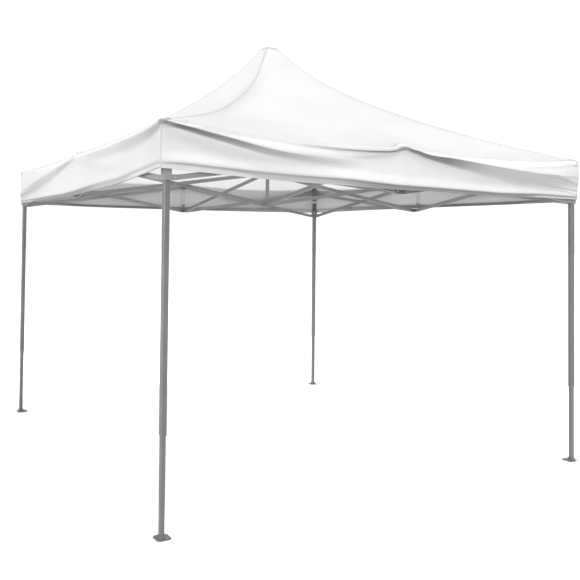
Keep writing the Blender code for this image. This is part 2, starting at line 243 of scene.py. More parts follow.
def poleMaterial(look=poleLook):
    made, tree, shader = startMaterial("poleAndCap")
    place = objectPlace(tree)
    height = node(tree, "ShaderNodeSeparateXYZ", {0: place}).outputs["Z"]
    cap = spread(tree, height, 0, 1, look["capFrom"], look["capFrom"] + 0.001)
    patch = noise(tree, place, 6.0, 4.0)
    steel, moulded = (blendColours(tree, patch, *look[part]) for part in ("steel", "cap"))
    feed(tree, shader, {"Base Color": blendColours(tree, cap, steel, moulded),
                        "Roughness": spread(tree, patch, 0.36, 0.54),
                        "Normal": bump(tree, noise(tree, place, 700.0, 2.0), steelLook["peelDepth"], 0.6)})
    return made


# Moulded nylon with faint flow marks and a fine texture
def plasticMaterial(name, colour, other, roughness=0.5):
    made, tree, shader = startMaterial(name)
    place = objectPlace(tree)
    flow = noise(tree, place, 32.0, 4.0)
    feed(tree, shader, {"Base Color": blendColours(tree, flow, colour, other),
                        "Roughness": spread(tree, flow, roughness - 0.08, roughness + 0.1),
                        "Normal": bump(tree, noise(tree, place, 1400.0, 2.0), 0.00006, 0.6)})
    return made


looks = {
    "roof": clothMaterial("coverCloth", clothLook["throughRoof"]),
    "valance": clothMaterial("valanceCloth", clothLook["throughValance"]),
    "double": clothMaterial("doubledCloth", clothLook["throughDouble"], 0.92),
    "patch": clothMaterial("patchCloth", clothLook["throughDouble"], 0.8),
    # the valance's inner face: a darker copy of the valance cloth, painted shade on the inside of the canopy
    "inside": clothMaterial("coatedInside", clothLook["throughValance"], 0.8),
    "seamTape": clothMaterial("seamTape", clothLook["throughDouble"], 0.7),
    "thread": fineMaterial("sewingThread", 900.0, 1.0, ((0.74, 0.74, 0.74), (0.86, 0.86, 0.86)), (0.4, 0.6)),
    "webbing": webbingMaterial("whiteWebbing", (0.78, 0.78, 0.78), (0.55, 0.55, 0.55)),
    "tab": webbingMaterial("greyWebbing", (0.36, 0.36, 0.36), (0.26, 0.26, 0.26)),
    "steel": steelMaterial("powderCoatedSteel"),
    "bar": steelMaterial("powderCoatedBars", 1.9),
    "bracket": plasticMaterial("bracketNylon", (0.22, 0.22, 0.225), (0.28, 0.28, 0.285)),
    "pole": poleMaterial(),
    "midBracket": plasticMaterial("midBracketNylon", (0.085, 0.086, 0.09), (0.12, 0.121, 0.125)),
    "darkPlastic": plasticMaterial("darkNylon", (0.03, 0.03, 0.032), (0.05, 0.05, 0.052), 0.42),
    "zinc": fineMaterial("zincRivets", 260.0, 3.0, ((0.22, 0.22, 0.225), (0.36, 0.36, 0.365)), (0.42, 0.6), 0.7),
}


# Every kept piece of the frame gets the finish of the first start that fits its name
frameLooks = (("mid_", "midBracket"), ("corner_", "bracket"), ("slider_", "bracket"), ("hub_", "bracket"),
              ("leg_", "steel"), ("centre_pole", "pole"), ("", "bar"))

for name, piece in frame["nodes"].items():
    finish = next(look for start, look in frameLooks if name.startswith(start))
    piece.data.materials.clear()
    piece.data.materials.append(looks[finish])
print("frame dressed")


# The cover's cloth: one grid of points round the tent, from the peak over the eaves to the hem

coverShape = {
    "eaveHalf": -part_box("roof_front")[0].y,
    "eaveHeight": 1.985,       # roof edge at the corners
    "hipRise": 0.47,
    "hipCurve": 0.33,
    "peakRise": 0.255,         # the steep tip over the pole's cap
    "peakPower": 10,
    "peakRound": 0.07,
    # how much lower the front left hip hangs, by distance from the middle
    "slackHip": [(0.0, 0.0), (0.1, 0.0), (0.16, 0.018), (0.23, 0.038), (0.32, 0.05), (0.65, 0.053), (0.78, 0.056),
                 (1.00, 0.038), (1.10, 0.027), (1.38, 0.003), (1.50, 0.0)],
    "eaveMidDrop": 0.028,
    "eaveSag": (0.035, 0.030, 0.035, 0.014),   # front, right, back, left
    "cornerRadius": 0.017,     # rounding of the cover's upright edges
    "hipRadius": 0.008,
    # the roof stands up over the bracket in the middle of a side: height, width, shift, reach inwards
    "padBump": (0.03, 0.036, -0.022, 0.09),
    "peakTip": (0.022, 0.040),           # more height right over the cap, and how far it reaches
    "hipDust": (0.12, 0.085),            # painted shade beside a hip's seam: how grey, and how far
    "cornerPush": (-0.018, 0.14),        # the front left bracket pushes its corner out
    "thick": 0.0012,
    "roofRows": 66,
    "valanceRows": 90,
    "hemRows": 18,             # rows of the doubled hem, counted in the valance's
    "aboveHem": 0.010,         # cloth over the hem's seam that has the hem's close rows
    "columns": 128,            # of each side
    "innerRadius": 0.004,      # of the first ring of points
    "rowPower": 1.35,          # rows lie closer at the peak
    "columnPower": 1.2,        # columns lie closer at the corners
    "cornerFade": 0.10,        # stretch beside a corner where bulge and ripples fade
    "crowd": 0.006,            # a fold that stands out as far as this doubles the rows round it
    "lipRise": 0.016,          # height over a crest that its lip pulls down
    "dustFade": (0.55, 0.60),  # shares of its reach where a fold's painted shade begins to fade, and over which
    "roofRipple": 0.002,
    "valanceRipple": 0.0018,
}

# Hem heights (along, height) of each side. Along runs from the side's corner of swags, which the front
# and left sides share, to its corner of long folds.
hemLines = (
    [(-1.5, 1.75), (-1.3, 1.74), (-0.95, 1.726), (-0.72, 1.721), (-0.43, 1.7205), (-0.04, 1.712), (0.2, 1.718),
     (0.76, 1.712), (1.12, 1.722), (1.5, 1.722)],
    [(-1.5, 1.744), (-0.6, 1.738), (0.0, 1.73), (0.7, 1.72), (1.35, 1.712), (1.5, 1.722)],
    [(-1.5, 1.744), (-0.7, 1.73), (0.0, 1.722), (0.8, 1.716), (1.5, 1.721)],
    [(-1.5, 1.75), (-1.21, 1.736), (-0.91, 1.717), (-0.58, 1.71), (-0.12, 1.702), (0.54, 1.71), (1.5, 1.721)],
)

# Folds on the outside of the valance. A fold has a crest line (along, height), how far it stands out there,
# over which height the cloth comes back in below it, how far its lip hangs over, how grey the painted shade
# under it is, and how far down that painted shade reaches. It swells from the eave, or from a top line of its own.
cornerSwag = {
    "crest": [(-1.5, 1.984), (-1.47, 1.976), (-1.39, 1.96), (-1.31, 1.945), (-1.23, 1.932), (-1.14, 1.918),
              (-1.06, 1.904), (-0.94, 1.885), (-0.85, 1.875), (-0.72, 1.868), (-0.5, 1.866), (-0.2, 1.862)],
    "out": [(-1.5, 0.008), (-1.44, 0.019), (-1.35, 0.026), (-1.15, 0.033), (-0.9, 0.033), (-0.7, 0.026),
            (-0.5, 0.014), (-0.28, 0.0)],
    "below": [(-1.5, 0.01), (-1.35, 0.014), (-1.15, 0.016), (-0.95, 0.02), (-0.8, 0.032), (-0.5, 0.06)],
    "lip": [(-1.5, 0.001), (-1.4, 0.003), (-1.1, 0.003), (-0.9, 0.002), (-0.72, 0.001), (-0.6, 0.0)],
    "dust": [(-1.5, 0.4), (-1.44, 0.65), (-1.3, 0.8), (-1.18, 0.65), (-1.05, 0.44), (-0.95, 0.32), (-0.7, 0.2),
             (-0.45, 0.08), (-0.3, 0.0)],
    "reach": [(-1.5, 0.024), (-1.2, 0.028), (-1.0, 0.034), (-0.8, 0.044), (-0.5, 0.05)],
    "soft": 0.016,
}
cornerRoll = {
    "top": [(-1.5, 1.973), (-1.39, 1.944), (-1.31, 1.926), (-1.14, 1.897), (-0.94, 1.86), (-0.72, 1.836),
            (-0.2, 1.828)],
    "crest": [(-1.5, 1.96), (-1.39, 1.93), (-1.31, 1.911), (-1.14, 1.88), (-0.94, 1.842), (-0.72, 1.818),
              (-0.2, 1.8)],
    "out": [(-1.5, 0.002), (-1.38, 0.014), (-1.1, 0.019), (-0.85, 0.014), (-0.6, 0.005), (-0.45, 0.0)],
    "below": [(-1.5, 0.06), (-0.9, 0.08), (-0.5, 0.06)],
}
middleSwag = {
    "crest": [(-0.95, 1.932), (-0.79, 1.924), (-0.63, 1.92), (-0.47, 1.917), (-0.26, 1.923), (-0.12, 1.932),
              (-0.05, 1.945), (0.0, 1.95)],
    "out": [(-0.98, 0.0), (-0.75, 0.007), (-0.45, 0.012), (-0.2, 0.017), (-0.07, 0.018), (-0.01, 0.003)],
    "below": [(-0.95, 0.03), (-0.5, 0.014), (-0.2, 0.007), (0.0, 0.006)],
    "lip": [(-0.5, 0.0), (-0.25, 0.004), (-0.08, 0.005), (-0.02, 0.0)],
    "dust": [(-0.75, 0.0), (-0.55, 0.2), (-0.3, 0.35), (-0.18, 0.6), (-0.08, 0.65), (-0.03, 0.0)],
    "reach": [(-0.6, 0.012), (-0.05, 0.014)],
}
padFold = {
    "crest": [(-0.1, 1.96), (-0.03, 1.964), (0.04, 1.96)],
    "out": [(-0.09, 0.0), (-0.06, 0.007), (0.01, 0.007), (0.04, 0.0)],
    "below": [(-0.09, 0.012), (0.04, 0.012)],
    "dust": [(-0.1, 0.0), (-0.07, 0.3), (0.02, 0.3), (0.05, 0.0)],
    "reach": [(-0.1, 0.02), (0.05, 0.02)],
    "soft": 0.02,
}
underSwag = {
    "crest": [(-0.5, 1.884), (-0.34, 1.887), (-0.23, 1.897), (-0.09, 1.916)],
    "out": [(-0.5, 0.0), (-0.36, 0.004), (-0.2, 0.005), (-0.08, 0.0)],
    "below": [(-0.5, 0.014), (-0.09, 0.012)],
    "over": 0.02,
}
longFold = {
    "crest": [(0.02, 1.96), (0.06, 1.952), (0.1, 1.942), (0.16, 1.93), (0.23, 1.923), (0.39, 1.913), (0.56, 1.9),
              (0.73, 1.887), (0.9, 1.877), (1.09, 1.868), (1.28, 1.869), (1.5, 1.873)],
    "out": [(0.0, 0.0), (0.06, 0.015), (0.2, 0.024), (0.42, 0.034), (0.8, 0.042), (1.2, 0.04), (1.4, 0.028),
            (1.5, 0.012)],
    "below": [(0.02, 0.01), (0.1, 0.012), (0.17, 0.02), (0.25, 0.027), (0.41, 0.047), (0.58, 0.06),
              (0.75, 0.074), (0.93, 0.088), (1.05, 0.093), (1.3, 0.105), (1.5, 0.11)],
    "lip": [(0.03, 0.0), (0.08, 0.005), (0.2, 0.005), (0.32, 0.0)],
    "dust": [(0.02, 0.3), (0.06, 1.3), (0.22, 1.3), (0.36, 0.9), (0.5, 0.55), (0.7, 0.33), (1.2, 0.27),
             (1.5, 0.12)],
    "reach": [(0.02, 0.02), (0.17, 0.027), (0.25, 0.034), (0.41, 0.05), (0.58, 0.06), (0.75, 0.074),
              (0.93, 0.088), (1.05, 0.093), (1.5, 0.11)],
    "straight": True,
}
cornerRipple = {
    "crest": [(0.8, 1.914), (0.97, 1.913), (1.21, 1.926), (1.37, 1.946), (1.5, 1.958)],
    "out": [(0.8, 0.0), (1.0, 0.005), (1.35, 0.006), (1.5, 0.002)],
    "below": [(0.85, 0.026), (1.5, 0.024)],
    "dust": [(0.85, 0.0), (1.05, 0.1), (1.3, 0.1), (1.45, 0.0)],
    "reach": [(0.85, 0.02), (1.5, 0.02)],
    "soft": 0.012,
}
edgeRipple = {
    "crest": [(1.12, 1.872), (1.24, 1.864), (1.47, 1.826), (1.5, 1.82)],
    "out": [(1.12, 0.0), (1.25, 0.005), (1.44, 0.006), (1.5, 0.002)],
    "below": [(1.12, 0.016), (1.5, 0.01)],
    "over": 0.026,
}
lowRipple = {
    "crest": [(1.05, 1.812), (1.26, 1.798), (1.47, 1.783), (1.5, 1.781)],
    "out": [(1.05, 0.0), (1.24, 0.005), (1.44, 0.006), (1.5, 0.002)],
    "below": [(1.05, 0.012), (1.5, 0.008)],
    "dust": [(1.1, 0.0), (1.3, 0.15), (1.5, 0.15)],
    "reach": [(1.05, 0.012), (1.5, 0.01)],
    "over": 0.024,
}
hemRipple = {
    "crest": [(1.15, 1.788), (1.35, 1.776), (1.5, 1.752)],
    "out": [(1.15, 0.0), (1.34, 0.004), (1.46, 0.005), (1.5, 0.002)],
    "below": [(1.15, 0.01), (1.5, 0.008)],
    "over": 0.018,
}
eaveBand = {
    "crest": [(-1.5, 1.968), (-1.37, 1.956), (-1.11, 1.944), (-0.71, 1.937), (-0.3, 1.94), (0.0, 1.948)],
    "out": [(-1.5, 0.004), (-1.37, 0.013), (-1.0, 0.017), (-0.6, 0.013), (-0.25, 0.006), (-0.02, 0.0)],
    "below": [(-1.5, 0.03), (-1.1, 0.05), (-0.6, 0.055), (0.0, 0.03)],
    "dust": [(-1.5, 0.5), (-1.4, 0.45), (-1.2, 0.25), (-0.6, 0.12), (0.0, 0.0)],
    "reach": [(-1.5, 0.04), (-1.1, 0.07), (0.0, 0.05)],
    "soft": 0.012,
}
diagonalFold = {
    "crest": [(-0.06, 1.95), (0.05, 1.938), (0.29, 1.914), (0.91, 1.862), (1.32, 1.822), (1.5, 1.806)],
    "out": [(-0.04, 0.0), (0.06, 0.012), (0.3, 0.019), (0.9, 0.026), (1.25, 0.022), (1.5, 0.006)],
    "below": [(-0.04, 0.012), (0.2, 0.03), (0.6, 0.055), (1.5, 0.07)],
    "dust": [(-0.04, 0.0), (0.1, 0.25), (0.6, 0.2), (1.1, 0.24), (1.5, 0.3)],
    "reach": [(-0.04, 0.014), (0.2, 0.03), (0.6, 0.06), (1.5, 0.1)],
}
sideFolds = (
    [cornerSwag, cornerRoll, middleSwag, padFold, underSwag, longFold, cornerRipple, edgeRipple, lowRipple, hemRipple],
    [eaveBand, longFold, cornerRipple, edgeRipple],
    [cornerSwag, cornerRoll, diagonalFold, hemRipple],
    [eaveBand, diagonalFold, lowRipple],
)
# The doubled band at the lower edge: the cloth above it bulges over its seam and the band hangs plumb
hemFold = {
    "band": [(-1.5, 0.03), (-1.4, 0.037), (-0.4, 0.037), (-0.2, 0.032), (0.0, 0.028), (0.2, 0.022), (1.2, 0.022),
             (1.5, 0.02)],
    "out": 0.014,
    "share": (1.0, 1.0, 1.0, 0.35),            # of it: front, right, back, left
    "bandOut": 0.006,
    "over": 0.06,
    "below": 0.014,
    "lip": 0.0005,
    # painted shade in the groove where the cloth bulges over the hem's seam
    "dust": [(-1.5, 0.3), (-1.1, 0.42), (-0.5, 0.54), (-0.25, 0.95), (0.2, 1.15), (0.6, 1.15), (1.1, 0.9),
             (1.5, 0.8)],
    "reach": [(-1.5, 0.014), (-1.1, 0.016), (-0.95, 0.045), (0.9, 0.045), (1.1, 0.013), (1.5, 0.011)],
    "soft": 0.014,
    # a painted shadow line along the hem's lower edge: its grey on each side, and the height it covers
    "edgeDust": (0.0, 0.95, 0.95, 0.95),
    "edge": 0.008,
}


# A smooth value along a side, through pairs of (along, value)
def alongCurve(pairs, along, blur=0.03):
    line = np.linspace(-1.8, 1.8, 721)
    values = np.interp(line, *zip(*pairs))
    reach = np.exp(-0.5 * (np.arange(-40, 41) * 0.005 / blur) ** 2)
    padded = np.pad(values, 40, mode="edge")
    return np.interp(along, line, np.convolve(padded, reach / reach.sum(), mode="valid"))


def unit(ways):
    return ways / np.maximum(np.linalg.norm(ways, axis=-1, keepdims=True), 1e-9)


# How far along a line of points each of them lies
def runAlong(points):
    return np.concatenate([[0], np.cumsum(np.linalg.norm(np.diff(points, axis=0), axis=-1))])


def smoothStep(x):
    x = np.clip(x, 0, 1)
    return x * x * (3 - 2 * x)


# r is the larger of |x| and |y|; a runs from 0 in the middle of a side to 1 at a hip
def roofHeight(r, a, sag, shape=coverShape):
    u = 1 - np.hypot(r, shape["peakRound"]) / math.hypot(shape["eaveHalf"], shape["peakRound"])
    drop = shape["eaveMidDrop"] * (1 - a) + sag * 4 * a * (1 - a)
    rise = shape["hipRise"] * u + shape["hipCurve"] * u * u + shape["peakRise"] * u ** shape["peakPower"]
    return shape["eaveHeight"] + rise - (r / shape["eaveHalf"]) ** 2 * drop


def hemBandAt(at, shape=coverShape):
    return alongCurve(hemFold["band"], at, 0.05) + shape["aboveHem"]


# Painted shade under a fold's crest: soft at its top, fading out down its reach
def foldDust(fold, at, down, shape=coverShape):
    dust, reach = alongCurve(fold["dust"], at, 0.04), alongCurve(fold["reach"], at)
    soft, (start, over) = fold.get("soft", 0.004), shape["dustFade"]
    return dust * smoothStep((down + soft / 2) / soft) * (1 - smoothStep((down - start * reach) / (over * reach)))


# Heights [row, column] of the valance's rows, closer together at the folds, how far the cloth stands out
# there, how far it hangs down over itself, and how much painted shade it has
def valanceRun(along, eave, k, shape=coverShape):
    at = -along if k in (1, 3) else along
    hem = alongCurve(hemLines[k], at, 0.05)
    rows = shape["valanceRows"] - shape["hemRows"]
    bandTop = hem + hemBandAt(at)
    fine = np.linspace(0, 1, 400)[:, None]
    height = eave + (bandTop - eave) * fine
    crests = []
    weight = np.ones_like(height)
    for fold in sideFolds[k]:
        crest = np.minimum(alongCurve(fold["crest"], at, 0.02), eave - 0.004)
        depth, below = alongCurve(fold["out"], at), alongCurve(fold["below"], at)
        lip = alongCurve(fold["lip"], at) if "lip" in fold else 0 * at
        top = np.minimum(alongCurve(fold["top"], at, 0.02), eave) if "top" in fold else eave
        if "over" in fold:
            top = np.minimum(crest + fold["over"], eave)
        crests.append((fold, crest, depth, below, lip, top))
        near = (height - crest + 0.3 * below) / (0.006 + 0.5 * below)
        weight += depth / shape["crowd"] * np.exp(-near ** 2)
    share = np.cumsum(weight, axis=0)
    share = (share - share[0]) / (share[-1] - share[0])
    levels = np.linspace(0, 1, rows + 1)
    heights = np.stack([np.interp(levels, share[:, c], height[:, c]) for c in range(len(at))], axis=1)
    band = np.linspace(1, 0, shape["hemRows"] + 1)[1:, None] * hemBandAt(at)
    heights = np.vstack([heights[1:], hem + band])
    out, hang, shadeAmount = (np.zeros_like(heights) for _ in range(3))
    for fold, crest, depth, below, lip, top in crests:
        rise = np.clip((top - heights) / np.maximum(top - crest, 0.004), 0, 1)
        down = (crest - heights) / below
        under = 1 - (np.clip(down, 0, 1) if "straight" in fold else smoothStep(down))
        out += depth * np.where(heights > crest, np.sin(rise * math.pi / 2), under)
        above = np.maximum(heights - crest, 0)
        hang += lip * np.exp(-(above / shape["lipRise"]) ** 2) * smoothStep(1 - down / 0.4)
        # painted shade under each fold's crest
        if "dust" in fold:
            shadeAmount += foldDust(fold, at, crest - heights)
    nearCorner = smoothStep((shape["eaveHalf"] - np.abs(along)) / shape["cornerFade"])
    crest = hem + alongCurve(hemFold["band"], at, 0.05)
    down = (crest - heights) / hemFold["below"]
    bulge = np.where(heights > crest, 1 - smoothStep((heights - crest) / hemFold["over"]),
                     1 - smoothStep(down) * (1 - hemFold["bandOut"] / hemFold["out"]))
    out += hemFold["out"] * hemFold["share"][k] * bulge * (0.4 + 0.6 * nearCorner)
    above = np.maximum(heights - crest, 0)
    hang += hemFold["lip"] * np.exp(-(above / 0.012) ** 2) * smoothStep(1 - down / 0.4) * nearCorner
    # painted shade in the groove over the hem's seam, and a painted shadow line along the hem's lower edge
    shadeAmount += foldDust(hemFold, at, crest - heights)
    shadeAmount += hemFold["edgeDust"][k] * (1 - smoothStep((heights - hem) / hemFold["edge"]))
    fall = np.clip((eave - heights) / (eave - hem), 0, 1)
    wave = np.sin(along * 7.3 + 1.7 * k) + 0.6 * np.sin(along * 13.1 + 3.6 * k + 1.0)
    out += shape["valanceRipple"] * wave * fall * nearCorner
    return heights, out, hang, np.clip(shadeAmount, 0, 1)


# The front side of a rounded square: a from -1 to 1, and the way out of it there
def ringOnSide(half, a, radius):
    run = np.abs(a) * half - (half - radius)
    turn = np.clip(run / radius, 0, 1) * math.pi / 4
    bent = run > 0
    x = np.where(bent, half - radius + radius * np.sin(turn), np.abs(a) * half) * np.sign(a)
    y = np.where(bent, -(half - radius) - radius * np.cos(turn), -half)
    return x, y, np.where(bent, np.sin(turn), 0) * np.sign(a), np.where(bent, -np.cos(turn), -1)


# The grid of points [row, column, xyz] of the whole cover at rest, and its painted shade [row, column]
def weaveCover(shape=coverShape):
    columns, roofRows, valanceRows = shape["columns"], shape["roofRows"], shape["valanceRows"]
    a = 2 * np.arange(columns) / columns - 1
    a = np.sign(a) * (1 - (1 - np.abs(a)) ** shape["columnPower"])
    half, inner = shape["eaveHalf"], shape["innerRadius"]
    radii = inner + (half - inner) * (np.arange(roofRows + 1) / roofRows) ** shape["rowPower"]
    grid = np.zeros((roofRows + valanceRows + 1, 4 * columns, 3))
    dust = np.zeros(grid.shape[:2])
    for k in range(4):
        own = slice(k * columns, (k + 1) * columns)
        for i, r in enumerate(radii):
            grown = shape["cornerRadius"] - shape["hipRadius"]
            radius = min(0.45 * r, shape["hipRadius"] + grown * float(smoothStep((r / half - 0.9) / 0.1)))
            x, y, _, _ = ringOnSide(r, a, radius)
            z = roofHeight(r, np.abs(a), shape["eaveSag"][k])
            if k in (0, 3):
                slack = float(alongCurve(shape["slackHip"], r, 0.02))
                z -= slack * np.clip(-a if k == 0 else a, 0, 1) ** 1.5
            rise, width, shift, deep = shape["padBump"]
            shift = -shift if k in (1, 3) else shift
            z += rise * np.exp(-((a * r - shift) / width) ** 2 - ((half - r) / deep) ** 2)
            z += shape["peakTip"][0] * math.exp(-(r / shape["peakTip"][1]) ** 2)
            near = smoothStep((r / half - 0.45) / 0.5)
            z += shape["roofRipple"] * near * np.sin(a * 9 + 1.7 * k) * np.sin(r * 11) * (1 - a * a)
            grid[i, own] = quarter(np.stack([x, y, z], -1), k)
        x, y, nx, ny = ringOnSide(half, a, shape["cornerRadius"])
        heights, out, hang, dust[roofRows + 1:, own] = valanceRun(a * half, grid[roofRows, own, 2], k)
        points = np.stack([x + nx * out, y + ny * out, heights - hang], -1)
        grid[roofRows + 1:, own] = quarter(points, k)
    # both sides of a corner come together, and the eave is rounded over
    for _ in range(3):
        for reach in range(-2, 3):
            at = (np.arange(4) * columns + reach) % (4 * columns)
            grid[:, at] = (grid[:, at] * 2 + grid[:, (at - 1) % (4 * columns)]
                           + grid[:, (at + 1) % (4 * columns)]) / 4
    for _ in range(2):
        rows = np.arange(roofRows - 1, roofRows + 3)
        grid[rows] = (grid[rows] * 2 + grid[rows - 1] + grid[rows + 1]) / 4
    # painted shade beside each hip's seam, strongest between about 0.4 and 0.9 m from the middle
    roof = np.abs(grid[:roofRows + 1, :, :2])
    away = roof.max(axis=-1)
    offHip = np.abs(roof[..., 0] - roof[..., 1])
    shadeAmount, width = shape["hipDust"]
    dust[:roofRows + 1] += (shadeAmount * np.exp(-(offHip / width) ** 2) * smoothStep((away - 0.10) / 0.30)
                            * (1 - smoothStep((away - 0.90) / 0.50)))
    push, width = shape["cornerPush"]
    away = np.hypot(grid[..., 0] + half, grid[..., 1] + half)
    grid[..., 0] += push * np.exp(-(away / width) ** 2)
    return grid, dust


cloth, clothPaintedShade = weaveCover()
rowCount, columnCount = cloth.shape[:2]
eaveRow = coverShape["roofRows"]
print("cover woven,", rowCount, "rows of", columnCount)


# How the cover gathers when the frame folds. The cloth's fully folded place is worked out first, and
# hooks to the legs, the pole and the lower hub carry it there in step with the frame.

foldedShape = {
    "capShare": 0.057,         # cloth on the pole's cap, which stays as it is
    # share of the way from peak to eave, half size of the bundle there, height, depth of the pleats
    "meridian": [(0.057, 0.0855, 1.984, 0.0), (0.1, 0.13, 1.995, 0.002), (0.14, 0.185, 2.005, 0.01),
                 (0.17, 0.222, 1.993, 0.020), (0.20, 0.245, 1.958, 0.028), (0.30, 0.268, 1.800, 0.045),
                 (0.42, 0.284, 1.600, 0.058), (0.52, 0.292, 1.420, 0.064), (0.57, 0.287, 1.350, 0.064),
                 (0.60, 0.270, 1.328, 0.060), (0.63, 0.251, 1.348, 0.055), (0.70, 0.237, 1.450, 0.048),
                 (0.82, 0.221, 1.680, 0.034), (0.92, 0.205, 1.880, 0.020), (0.97, 0.193, 1.962, 0.011),
                 (1.00, 0.1845, 1.985, 0.006)],
    "valanceSwell": 0.008,
    "valancePleats": 0.014,
    "pleats": 5,               # on each side
    "pleatDrop": 0.07,         # pleats hang lower where they stand out
}


# How far the legs, the pole and the lower hub move at the full fold, from the frame's own joints
def foldTravels():
    full = next(math.radians(j["range_deg"][1]) for j in frame["joints"] if j["name"] == "frame_fold")
    pole = next(j["range_m"][1] for j in frame["joints"] if j["name"] == "centre_pole_slide")
    span, drop = legHalf - hubReach - midReach, topPivotHeight - lowPivotHeight
    length, angle = math.hypot(span, drop), math.atan2(drop, span)
    return span - length * math.cos(angle + full), pole, length * math.sin(angle + full) - drop


legTravel, poleTravel, hubTravel = foldTravels()


# A value on a smooth curve through the given points
def smoothRun(xs, ys, x):
    slopes = np.gradient(ys, xs)
    i = int(np.clip(np.searchsorted(xs, x) - 1, 0, len(xs) - 2))
    width = xs[i + 1] - xs[i]
    t = float(np.clip((x - xs[i]) / width, 0, 1))
    return (ys[i] * (1 + 2 * t) * (1 - t) ** 2 + slopes[i] * width * t * (1 - t) ** 2
            + ys[i + 1] * t * t * (3 - 2 * t) - slopes[i + 1] * width * t * t * (1 - t))


# The same grid of points when the frame is folded to a bundle
def bundleCover(rest, shape=foldedShape):
    share, halves, heights, depths = (np.array(v) for v in zip(*shape["meridian"]))
    columns, half0 = coverShape["columns"], coverShape["eaveHalf"]
    along = 2 * np.arange(columns) / columns - 1
    out = np.array(rest)
    for i in range(rowCount):
        s = abs(rest[min(i, eaveRow), columns // 2, 1]) / half0
        if s < shape["capShare"]:
            out[i, :, 2] -= poleTravel
            continue
        if i <= eaveRow:
            half, height, depth = (smoothRun(share, v, s) for v in (halves, heights, depths))
        else:
            down = (i - eaveRow) / (rowCount - 1 - eaveRow)
            half = halves[-1] + shape["valanceSwell"] * math.sin(down * math.pi)
            height, depth = None, depths[-1] + shape["valancePleats"] * down
        radius = min(0.9 * half, coverShape["cornerRadius"] + max(0.0, half - halves[-1]) * 0.8)
        for k in range(4):
            own = slice(k * columns, (k + 1) * columns)
            x, y, _, _ = ringOnSide(half, along, radius)
            turns = (along + 1) * math.pi * shape["pleats"]
            wave = 0.5 - 0.5 * np.cos(turns + 0.6 * np.sin(turns / 5 + k) * (1 - along ** 2))
            tall = 0.8 + 0.2 * np.sin(along * math.pi + 1.9 * k) * (1 - along ** 2)
            grow = 1 + depth * wave * tall / np.hypot(x, y)
            if height is None:
                z = rest[i, own, 2] + 0 * x
            else:
                low = smoothStep((1.98 - height) / 0.5)
                z = height - shape["pleatDrop"] * low * wave * tall
            out[i, own] = quarter(np.stack([x * grow, y * grow, np.broadcast_to(z, x.shape)], -1), k)
    return out


bundle = bundleCover(cloth)


def gridNormals(grid):
    return unit(np.cross(np.roll(grid, -1, axis=1) - np.roll(grid, 1, axis=1), -np.gradient(grid, axis=0)))


clothOut, bundleOut = gridNormals(cloth), gridNormals(bundle)


# Places on the cloth at rows and columns of its grid, fractions too, and lift metres off it
def onCloth(rows, columns, lift, folded=False):
    grid, out = (bundle, bundleOut) if folded else (cloth, clothOut)
    rows = np.clip(np.asarray(rows, float), 0, rowCount - 1.001)
    columns = np.asarray(columns, float)
    i, j = np.floor(rows).astype(int), np.floor(columns).astype(int)
    u, v = (rows - i)[..., None], (columns - j)[..., None]
    j, other = j % columnCount, (j + 1) % columnCount
    places = [(a[i, j] * (1 - v) + a[i, other] * v) * (1 - u)
              + (a[i + 1, j] * (1 - v) + a[i + 1, other] * v) * u for a in (grid, out)]
    return places[0] + unit(places[1]) * np.asarray(lift, float)[..., None]


# Hooks that carry each vertex by its own travel, an array of xyz, as the frame folds
def gather(obj, travel):
    travel = np.asarray(travel, float)
    drop = np.maximum(-travel[:, 2], 0)
    byPole = np.minimum(drop, poleTravel)
    shares = {"centre_pole": byPole / poleTravel, "hub_bottom": (drop - byPole) / hubTravel}
    east, north = travel[:, 0] / legTravel, travel[:, 1] / legTravel
    # a push along a diagonal is one leg's, and what is left is shared with the next one
    one, other = (east + north) / 2, (east - north) / 2
    shares["leg_front_left"], shares["leg_back_right"] = np.maximum(one, 0), np.maximum(-one, 0)
    shares["leg_back_left"], shares["leg_front_right"] = np.maximum(other, 0), np.maximum(-other, 0)
    for body, share in shares.items():
        group = obj.vertex_groups.new(name=body)
        for index in np.nonzero(share > 1e-5)[0]:
            group.add([int(index)], min(1.0, float(share[index])), "REPLACE")
        hook = obj.modifiers.new("fold " + body, "HOOK")
        hook.object = frame["bodies"][body]
        hook.vertex_group = body
        hook.falloff_type = "NONE"
        hook.matrix_inverse = Matrix.Identity(4)


def makePiece(name, points, faces, finish, uvs=None, smooth=True):
    mesh = bpy.data.meshes.new(name)
    mesh.from_pydata([tuple(p) for p in np.asarray(points, float)], [], faces)
    if uvs is not None:
        layer = mesh.uv_layers.new(name="clothRun")
        layer.data.foreach_set("uv", np.asarray(uvs, np.float32).ravel())
    mesh.polygons.foreach_set("use_smooth", [smooth] * len(mesh.polygons))
    for look in finish if isinstance(finish, (list, tuple)) else [finish]:
        mesh.materials.append(look)
    obj = bpy.data.objects.new(name, mesh)
    bpy.context.collection.objects.link(obj)
    return obj


def thicken(piece, thickness, offset=-1):
    solid = piece.modifiers.new("thickness", "SOLIDIFY")
    solid.thickness = thickness
    solid.offset = offset
    return solid


def fasten(piece, body):
    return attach(piece, body)


# The corners of a quad on a grid, as steps in (row, column), in the two ways round
acrossFirst = ((0, 0), (0, 1), (1, 1), (1, 0))
downFirst = ((0, 0), (1, 0), (1, 1), (0, 1))


# Quads over a grid of rows by columns, and their UVs: uvAt takes a quad's row and column and a corner's steps
def gridQuads(rows, columns, order, uvAt, closed=""):
    faces, uvs = [], []
    for i in range(rows - (closed != "rows")):
        for j in range(columns - (closed != "columns")):
            faces.append(tuple((i + di) % rows * columns + (j + dj) % columns for di, dj in order))
            uvs += [uvAt(i, j, di, dj) for di, dj in order]
    return faces, uvs


